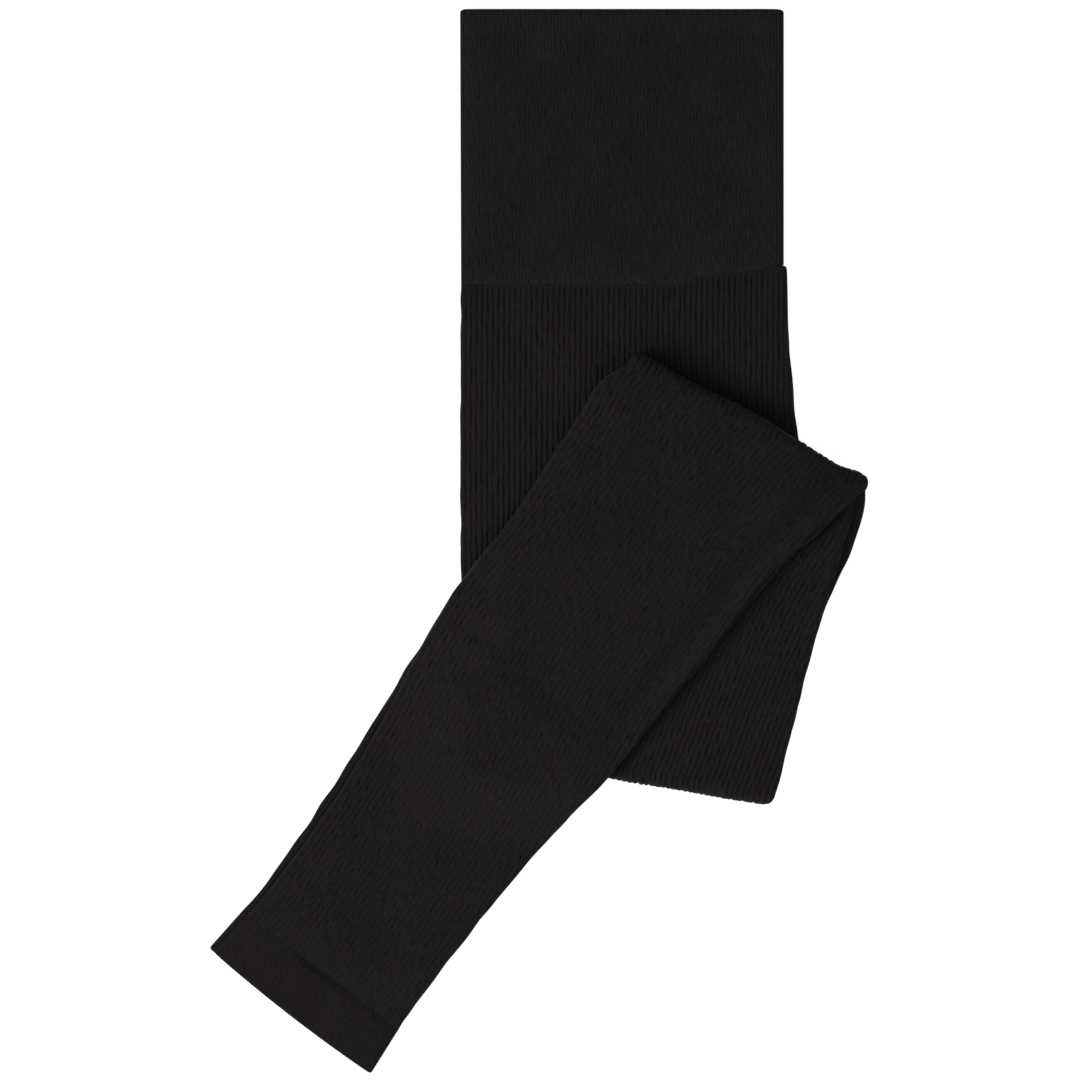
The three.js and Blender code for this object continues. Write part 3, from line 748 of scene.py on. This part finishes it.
def shin_hollow_shade(x, y, away, passed):
    """The shin's creases, and the ridge and groove that run along its inner edge, also painted on the
    colour as painted shade in the creases and groove and a painted highlight on the ridges.
    """
    ridge = ROLL["height"] * hump(away, ROLL["at"], ROLL["width"])
    groove = GROOVE["depth"] * hump(away, GROOVE["at"], GROOVE["width"])
    return creases(x, y) + grows_and_fades(passed, ROLL_SPAN) * (groove - ridge)


def knee_hollow_shade(x, y, away, left_over):
    """The knee pushed in under the shin's edge, and its own raised edge; on the colour the first is a
    painted shadow and the second a painted highlight.
    """
    near_fold = PRESS_AND_SHADOW["near_fold"] * (1 - ease(left_over, *PRESS_AND_SHADOW["span"]))
    pressed_and_shaded = hump(line_distance(SHIN_EDGE, x, y), 0, PRESS_AND_SHADOW["width"]) * (PRESS_AND_SHADOW["depth"] + near_fold)
    brim_and_highlight = BRIM_AND_HIGHLIGHT["height"] * hump(away, BRIM_AND_HIGHLIGHT["at"], BRIM_AND_HIGHLIGHT["width"])
    return pressed_and_shaded - grows_and_fades(left_over, BRIM_SPAN) * brim_and_highlight


def make_leg(leg):
    """A leg of ribbed cloth, from the waist seam to the ankle."""
    rows = leg_rows()
    end = add_lengths(leg, rows)
    seed = leg["seed"]
    sway = Ripple(seed, 7.0, 20.0)
    long_change = Ripple(seed + 1, 8.0, 17.0)
    short_change = Ripple(seed + 2, 4.2, 8.0, 18)
    pucker = Ripple(seed + 3, 4.5, 8.5, 18)
    swell = Ripple(seed + 4, 55.0, 65.0)
    wander = Ripple(seed + 6, 400.0, 30.0)
    shin_start = next(row["along"] for row in rows if row["run"] == "shin")
    for row in rows:
        calm = float(grows_and_fades(row["along"], (0, EDGE_CALM, end - EDGE_CALM, end)))
        row["waver_left"] = EDGE_WAVER * calm * float(wander(0, row["along"]))
        row["waver_right"] = EDGE_WAVER * calm * float(wander(90, row["along"] + 500))

    def seen_from_above(row, across):
        x, y, _ = leg_points(leg, row, across_at(row, across), np.zeros(across.shape)).T
        return x, y

    def relief(row, across, side, ends):
        along = row["along"]
        look = RUNS[row["run"]]
        body = row["run"] == "body"
        below_seam = along + seam_rise(across) * (1 - row["rise"]) if body else along + 0 * across
        start = np.where(across > NOTCH_ACROSS, TAB_HEM, USUAL_HEM)
        fainter = 1 - ANKLE_RIBS["less"] * ease(along, end - ANKLE_RIBS["length"], end)
        depth = look["rib"] * ease(below_seam, start, start + RIB_START) * fainter
        change = long_change(across, along) if body else short_change(across, along)
        if row["run"] == "shin":
            by_edge = EDGE_RIBS["more"] * hump(across, 0, EDGE_RIBS["width"])
            by_fold = FOLD_RIBS["more"] * hump(along, shin_start, FOLD_RIBS["width"])
            depth = depth * (1 + by_edge + by_fold)
        uneven = np.clip(1 + look["change"] * change, 0, MOST_CHANGE)
        sink = depth * uneven * rib_sink(across, RIB) + look["pucker"] * pucker(across, along)
        sink = sink + soft_edges(across, *ends)
        # the hollow starts as the slow swell; with all that is added to it below, it is also painted on
        # the colour: painted shade where it sinks, a painted highlight where it rises
        hollow_shade = SWELL * swell(across, along)
        away = ends[1] - across
        if body:
            hollow_shade = hollow_shade + seam_hollow_shade(below_seam)
        if row["run"] == "shin" and side > 0:
            x, y = seen_from_above(row, across)
            hollow_shade = hollow_shade + shin_hollow_shade(x, y, away, along - shin_start)
            hollow_shade = hollow_shade + hem_groove(across, row["cut"]) * hump(along, end, HEM_GROOVE_WIDTH)
        if row["run"] == "knee" and side < 0:
            x, y = seen_from_above(row, across)
            hollow_shade = hollow_shade + knee_hollow_shade(x, y, away, shin_start - along)
        return sink + hollow_shade, SWAY * sway(across, along), hollow_shade

    return tube(leg, leg["name"] + "_knit", rows, relief)


def make_hem(leg):
    """The plain band that a leg ends in."""
    rows = flat(fill(HEM_ROWS, HEM_ROW), UPPER_FOLD, math.pi, "shin")
    first, last = rows[0], rows[-1]
    length = math.hypot(last["left_x"] - first["left_x"], last["left_y"] - first["left_y"])
    rows = rows[:-2]
    for before in (*HEM_END_ROWS, 0):
        t = 1 - before / length
        step = {name: mix(first[name], last[name], t) for name in ROW_COLUMNS}
        rows.append(dict(last, **step, pull=corner_pull(before, HEM_CORNER)))
    for row in rows:
        row["ankle"] = ((row["left_x"] - first["left_x"]) / (last["left_x"] - first["left_x"])) ** 2
        row["ribs_from"], row["ribs_to"] = first["ribs_from"], first["ribs_to"]
        row["crinkle"] = HEM["crinkle"]
    end = add_lengths(leg, rows)
    swell = Ripple(leg["seed"] + 5, 28.0, 40.0)
    pucker = Ripple(leg["seed"] + 7, 3.5, 6.0, 18)

    def relief(row, across, side, ends):
        along = row["along"]
        # the hem's groove and slow swell are also painted on the colour, as painted shade where they sink
        hollow_shade = hem_groove(across, row["cut"]) * hump(along, 0, HEM_GROOVE_WIDTH)
        hollow_shade = hollow_shade + HEM_SWELL * swell(across, along)
        sink = hollow_shade + HEM_EDGE_DROP["depth"] * hump(along, end, HEM_EDGE_DROP["width"])
        sink = sink + soft_edges(across, *ends) + HEM["pucker"] * pucker(across, along)
        return sink, np.zeros(across.shape), hollow_shade

    return tube(leg, leg["name"].replace("leg", "hem") + "_knit", rows, relief)


def band_section(aside, pull, relief):
    """The waistband's cloth in section, once round: x, z, the place passed, where it is plain, and the
    hollow, painted on its colour as painted shade and, below 0, a painted highlight.
    """
    low = WALL / 2
    tube_width = WALL + SLIT
    low_inner = low + tube_width
    high_inner = low_inner + WALL + GAP
    high = high_inner + tube_width
    middle = (low + high) / 2
    fold_x = BAND_RIGHT - WALL / 2 - (high - low) / 2 - pull
    tube_x = BAND_LEFT + WALL / 2 + tube_width / 2 + pull
    ends = (tube_x, fold_x)
    drop_left = drop_right = 0.0
    if relief:
        drop_left, drop_right = np.clip(relief(np.array(ends), ends)[0], 0, DEEPEST)
    xs, zs, passed, plain, hollow_shades = [], [], [], [], []

    def bend(x, z, radius, start, turn, stretch, drop=0.0):
        angle = start + turn * np.linspace(0, 1, BEND_STEPS + 1)
        reach = radius + math.copysign(aside, turn * aside)
        xs.append(x - reach * np.cos(angle))
        zs.append(z + reach * np.sin(angle) - drop * np.clip(np.sin(angle), 0, 1))
        passed.append(stretch + np.linspace(0, 1, BEND_STEPS + 1))
        plain.append(np.ones(BEND_STEPS + 1))
        hollow_shades.append(np.zeros(BEND_STEPS + 1))

    def straight(z, way, stretch, ribs=None):
        if ribs is None:
            place = np.arange(BAND_LEFT + COLUMN, BAND_RIGHT - 1, COLUMN)
            place = place[(place > tube_x + 1) & (place < fold_x - 1)]
            x = place
            height = np.full(place.shape, z)
            hollow_shade = np.zeros(place.shape)
        else:
            place = places(*ends, ends, FINE_RIB)[1:-1]
            sink, shift, hollow_shade = ribs(place, ends)
            height = z - np.clip(sink, -PROUDEST, DEEPEST)
            x = place + shift
        along = (place - BAND_LEFT) / (BAND_RIGHT - BAND_LEFT)
        order = slice(None, None, way)
        xs.append(x[order])
        zs.append(height[order])
        passed.append(stretch + (along if way > 0 else 1 - along)[order])
        plain.append(np.full(x.shape, 1.0 if ribs is None else 0.0))
        hollow_shades.append(hollow_shade[order])

    straight(high + aside, 1, 0, relief)
    bend(fold_x, middle, (high - low) / 2, math.pi / 2, math.pi, 1, drop_right)
    straight(low - aside, -1, 2)
    bend(tube_x, low + tube_width / 2, tube_width / 2, -math.pi / 2, math.pi, 3)
    straight(low_inner + aside, 1, 4)
    bend(fold_x, middle, (high_inner - low_inner) / 2, -math.pi / 2, -math.pi, 5)
    straight(high_inner - aside, -1, 6)
    bend(tube_x, high_inner + tube_width / 2, tube_width / 2, -math.pi / 2, math.pi, 7, drop_left)
    return [np.concatenate(part) for part in (xs, zs, passed, plain, hollow_shades)]


def make_band():
    """The waistband, from its top edge down to the waist seam."""
    sway = Ripple(31, 6.0, 13.0)
    change = Ripple(32, 4.0, 8.0, 18)
    pucker = Ripple(33, 3.6, 7.0, 18)
    swell = Ripple(34, 45.0, 50.0)
    height = BAND_TOP - SEAM_Y
    count = round(height / BAND_ROW)
    rows = list(BAND_FIRST_ROWS) + [height * k / count for k in range(1, count)]
    rows += [height - before for before in BAND_LAST_ROWS]
    skin = Skin()
    rings = []
    for down in rows:
        share = down / height
        thin = BAND_THIN["by"] * float(hump(down, 0, BAND_THIN["width"]))
        left = height - down

        def ribs(x, ends):
            uneven = np.clip(1 + BAND["change"] * change(x, down), BAND_LEAST_CHANGE, MOST_CHANGE)
            sink = BAND["rib"] * uneven * rib_sink(x, FINE_RIB) + BAND["pucker"] * pucker(x, down)
            sink = sink + soft_edges(x, *ends) + SOFT_EDGE_DROP * max(1 - down / SOFT_EDGE, 0) ** 2
            sink = sink - BAND_ROLL["height"] * hump(left, BAND_ROLL["at"], BAND_ROLL["width"])
            sink = sink + BAND_SEAM_DROP["depth"] * hump(left, 0, BAND_SEAM_DROP["width"])
            # the hollow is also painted on the colour: painted shade in the band's middle, a painted
            # highlight along its rim
            rim_near = np.minimum(np.minimum(x - ends[0], ends[1] - x), min(down, left))
            hollow_shade = BAND_MIDDLE["swell"] * swell(x, down) + BAND_MIDDLE["depth"]
            hollow_shade = hollow_shade - BAND_MIDDLE["rim"] * hump(rim_near, 0, BAND_MIDDLE["width"])
            return sink + BAND_MIDDLE["sinks"] * hollow_shade, BAND_SWAY * sway(x, down), hollow_shade

        made = []
        for aside, relief in ((WALL / 2 - thin, ribs), (-WALL / 2 + thin, None)):
            x, z, passed, plain, hollow_shade = band_section(aside, corner_pull(down, BAND_CORNER), relief)
            x = x - BAND_FLARE * (1 - share) * (BAND_RIGHT - x) / (BAND_RIGHT - BAND_LEFT)
            across = x - BAND_LEFT
            bottom = SEAM_Y + seam_rise(across) + SEAM_GAP
            y = mix(BAND_TOP, bottom, share)
            points = np.stack([x, y, z], -1)
            listed = skin.add(points, passed, across, down, plain, BAND["crinkle"], hollow_shade)
            listed.append((listed[0][0], BAND_STRETCHES))
            made.append(listed)
        rings.append(made)
    near = 1e-5
    for a, b in zip(rings, rings[1:]):
        skin.zip(a[0], b[0], True, near)
        skin.zip(a[1], b[1], False, near)
    skin.zip(rings[0][0], rings[0][1], False, near)
    skin.zip(rings[-1][0], rings[-1][1], True, near)
    return skin.piece("waistband_knit")


class Value:
    """A number that varies over a surface. Sums on it add Math nodes."""

    def __init__(self, shader, socket):
        self.shader = shader
        self.socket = socket

    def math(self, operation, other=None, swapped=False):
        pair = [self.socket] if other is None else [self.socket, getattr(other, "socket", other)]
        if swapped:
            pair.reverse()
        node = self.shader.node("ShaderNodeMath", {"operation": operation}, dict(enumerate(pair)))
        return Value(self.shader, node.outputs[0])

    def __add__(self, other):
        return self.math("ADD", other)

    def __sub__(self, other):
        return self.math("SUBTRACT", other)

    def __rsub__(self, other):
        return self.math("SUBTRACT", other, True)

    def __mul__(self, other):
        return self.math("MULTIPLY", other)

    def __truediv__(self, other):
        return self.math("DIVIDE", other)

    __radd__ = __add__
    __rmul__ = __mul__


class Shader:
    """A material whose nodes are all made by one method."""

    def __init__(self, name):
        self.material = bpy.data.materials.new(name)
        self.material.use_nodes = True
        self.tree = self.material.node_tree
        self.surface = self.tree.nodes["Principled BSDF"]

    def node(self, kind, settings=None, values=None):
        made = self.tree.nodes.new(kind)
        for name, value in (settings or {}).items():
            setattr(made, name, value)
        for name, value in (values or {}).items():
            self.feed(made.inputs[name], value)
        return made

    def feed(self, socket, value):
        value = getattr(value, "socket", value)
        if isinstance(value, bpy.types.NodeSocket):
            self.tree.links.new(value, socket)
        else:
            socket.default_value = value

    def noise(self, vector, scale, detail=2.0):
        """Noise about 0, mostly between -0.25 and 0.25."""
        made = self.node("ShaderNodeTexNoise", {"noise_dimensions": "3D"},
                         {"Vector": vector, "Scale": scale, "Detail": detail})
        return Value(self, made.outputs["Fac"]) - 0.5

    def attribute(self, name):
        return Value(self, self.node("ShaderNodeAttribute", {"attribute_name": name}).outputs["Fac"])


def knit(name, dark, light, pitch, rib_height, streak_size, streak_height):
    """Black knitted cloth: stitches in columns along its ribs, crinkled streaks and a matt nap.

    Each pattern raises the surface by its share of a millimetre in height, and in tone it turns
    the yarn from dark, at 0, to light, at 1. Part of that tone is painted shade: the rib valleys,
    the low parts of the streaks and the parts of the cloth marked as sunk are painted darker, and
    its ridges lighter, as painted highlights.
    """
    shader = Shader(name)
    place = shader.node("ShaderNodeTexCoord").outputs["Object"]
    cloth = shader.node("ShaderNodeUVMap", {"uv_map": "cloth"}).outputs["UV"]
    parts = shader.node("ShaderNodeSeparateXYZ", None, {0: cloth})
    across = Value(shader, parts.outputs["X"])
    along = Value(shader, parts.outputs["Y"])
    plain = shader.attribute("plain")
    crinkle = shader.attribute("crinkle")

    column = across / (pitch * MM)
    rib = (column * (2 * math.pi)).math("COSINE")
    lean = (column.math("FRACT") - 0.5).math("ABSOLUTE")
    course = along / (COURSE * MM)
    wander = shader.noise(place, 260.0, 1.0)
    stitch = ((course + lean * 0.9 + wander * 0.9) * (2 * math.pi)).math("SINE")
    stretched = shader.node("ShaderNodeVectorMath", {"operation": "MULTIPLY"},
                            {0: cloth, 1: (1000 / streak_size[0], 1000 / streak_size[1], 0)}).outputs[0]
    crumple = shader.noise(place, 150.0, 1.0) * 3.0 + 1.0
    streak = shader.noise(stretched, 1.0, 2.0) * crinkle * crumple
    fibre = shader.noise(place, 2400.0, 2.0)
    patch = shader.noise(place, 420.0, 2.0)
    cloud = shader.noise(place, 16.0, 2.0)

    # the mesh's hollow attribute is painted shade on the colour, and below 0 a painted highlight
    hollow_shade = shader.attribute("hollow_shade")
    height = stitch * 0.035 + fibre * 0.22 + streak * streak_height - plain * rib * rib_height
    bump = shader.node("ShaderNodeBump", None, {"Strength": 1.0, "Distance": MM, "Height": height})
    # the streaks' tone is partly the yarn's own crinkle and partly painted shade: they are painted darker
    # where their bump sinks
    tone = patch * 0.7 + fibre * 0.8 + streak * 1.5 + cloud * 0.4 + stitch * 0.03 + 0.45
    # painted shade: the rib valleys and the sunken cloth are painted darker, ridges lighter as a painted
    # highlight
    tone = tone - hollow_shade * 0.35 - rib * 0.17
    colour = shader.node("ShaderNodeMix", {"data_type": "RGBA", "clamp_factor": True},
                         {"Factor": tone, 6: (*dark, 1), 7: (*light, 1)})
    shader.feed(shader.surface.inputs["Base Color"], colour.outputs[2])
    shader.feed(shader.surface.inputs["Roughness"], patch * 0.2 + 0.86)
    shader.feed(shader.surface.inputs["Normal"], bump.outputs["Normal"])
    shader.surface.inputs["Specular IOR Level"].default_value = 0.1
    shader.surface.inputs["Sheen Weight"].default_value = 0.03
    shader.surface.inputs["Sheen Roughness"].default_value = 0.35
    return shader.material


def dress(piece, material, node):
    """Gives a piece its finish and puts it in the place of its CAD node."""
    piece.data.materials.append(material)
    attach(piece, "root")
    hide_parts(node)


def make_floor():
    """A pale lit table: it glows a little, so that the garment's shadow on it stays light."""
    bpy.ops.mesh.primitive_plane_add(size=FLOOR_SIZE, location=(0, 0, -FLOOR_DROP))
    floor = bpy.context.object
    floor.name = "floor"
    shader = Shader("pale_floor")
    shader.surface.inputs["Base Color"].default_value = FLOOR_COLOUR
    shader.surface.inputs["Roughness"].default_value = 0.9
    shader.surface.inputs["Specular IOR Level"].default_value = 0.1
    shader.surface.inputs["Emission Color"].default_value = (1, 1, 1, 1)
    shader.surface.inputs["Emission Strength"].default_value = FLOOR_GLOW
    floor.data.materials.append(shader.material)


def softbox(name, place, size, watts):
    """An area light that points at the garment."""
    bpy.ops.object.light_add(type="AREA", location=place)
    light = bpy.context.object
    light.name = name
    light.data.shape = "RECTANGLE"
    light.data.size, light.data.size_y = size
    light.data.energy = watts
    x, y, z = place
    light.rotation_euler = (math.atan2(math.hypot(x, y), z), 0, math.atan2(x, -y))
    light.visible_camera = False


def make_light():
    world = bpy.data.worlds.new("studio")
    world.use_nodes = True
    background = world.node_tree.nodes["Background"]
    background.inputs["Color"].default_value = (1, 1, 1, 1)
    background.inputs["Strength"].default_value = WORLD_GLOW
    bpy.context.scene.world = world
    for light in SOFTBOXES:
        softbox(**light)
    bpy.context.scene.view_settings.view_transform = "Standard"


def make_camera():
    """Straight above, as the photo is taken."""
    height = CLOTH_HEIGHT + FRAME_WIDTH * LENS / SENSOR
    bpy.ops.object.camera_add(location=(CAMERA_ASIDE, CAMERA_ASIDE, height), rotation=(0, 0, 0))
    camera = bpy.context.object
    camera.name = "above"
    camera.data.lens = LENS
    camera.data.sensor_width = SENSOR
    camera.data.clip_end = 20
    bpy.context.scene.camera = camera


bpy.ops.object.select_all(action="DESELECT")
make_camera()
rib_knit = knit("rib_knit", KNIT, KNIT_LIGHT, pitch=RIB, rib_height=0.3,
                streak_size=(1.2, 4.0), streak_height=1.1)
band_knit = knit("band_knit", BAND_KNIT, BAND_LIGHT, pitch=FINE_RIB, rib_height=0.1,
                 streak_size=(1.1, 6.0), streak_height=1.0)
hem_knit = knit("hem_knit", HEM_KNIT, HEM_LIGHT, pitch=FINE_RIB, rib_height=0.0,
                streak_size=(1.3, 3.6), streak_height=1.1)

band = make_band()
legs = [make_leg(LEFT_LEG), make_leg(RIGHT_LEG)]
hems = [make_hem(LEFT_LEG), make_hem(RIGHT_LEG)]
dress(band, band_knit, "waistband")
dress(legs[0], rib_knit, "leg_left")
dress(legs[1], rib_knit, "leg_right")
dress(hems[0], hem_knit, "hem_left")
dress(hems[1], hem_knit, "hem_right")
make_floor()
make_light()
